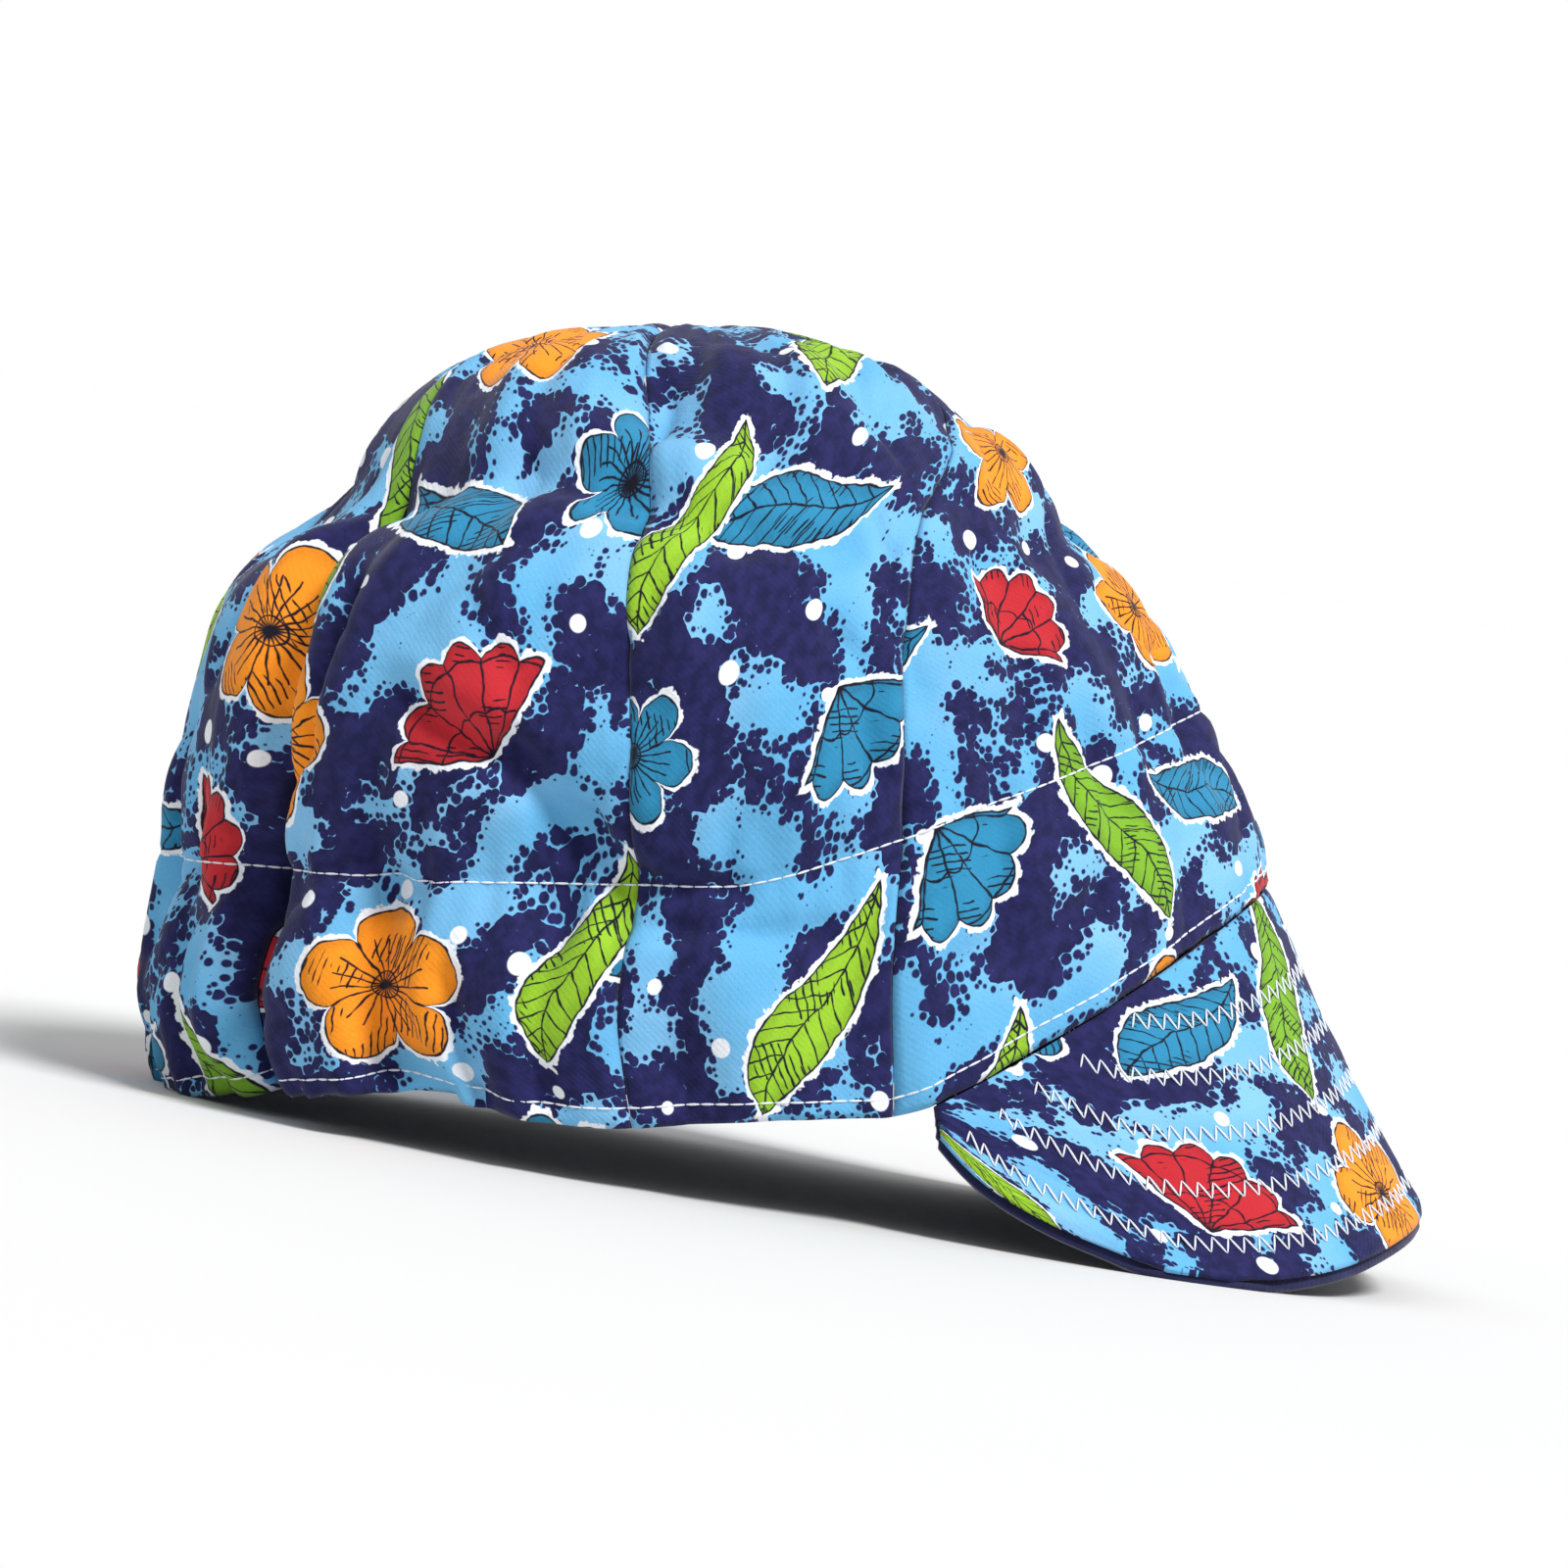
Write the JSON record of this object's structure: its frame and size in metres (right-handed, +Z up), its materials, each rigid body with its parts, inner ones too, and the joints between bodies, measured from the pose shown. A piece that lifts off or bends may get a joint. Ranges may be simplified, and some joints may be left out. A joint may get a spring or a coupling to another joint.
{
  "type": "welding cap",
  "caption": "Soft cotton cap for wear under a welding hood: a rounded crown of sewn gores over a deep sewn-in band, gathered at the nape, with a short, quilted, steeply drooping peak.",
  "frame": {"origin": "on the table, under the middle of the cap's bounding box", "axes": "+X to the front, where the peak is; +Y to the wearer's left; +Z up, as the cap rests by itself on its nape and peak"},
  "size_m": [0.2422, 0.166, 0.1559],
  "materials": {
    "printed_cloth": "printed cotton twill, sky blue and navy",
    "plain_cloth": "plain navy cotton twill"
  },
  "bodies": {
    "root": {"gore_right_front": "printed_cloth", "gore_right_temple": "printed_cloth", "gore_right_ear": "printed_cloth", "gore_right_nape": "printed_cloth", "gore_left_nape": "printed_cloth", "gore_left_ear": "printed_cloth", "gore_left_temple": "printed_cloth", "gore_left_front": "printed_cloth", "inner_band": "plain_cloth", "peak_upper_ply": "printed_cloth", "peak_lower_ply": "printed_cloth"}
  },
  "joints": []
}
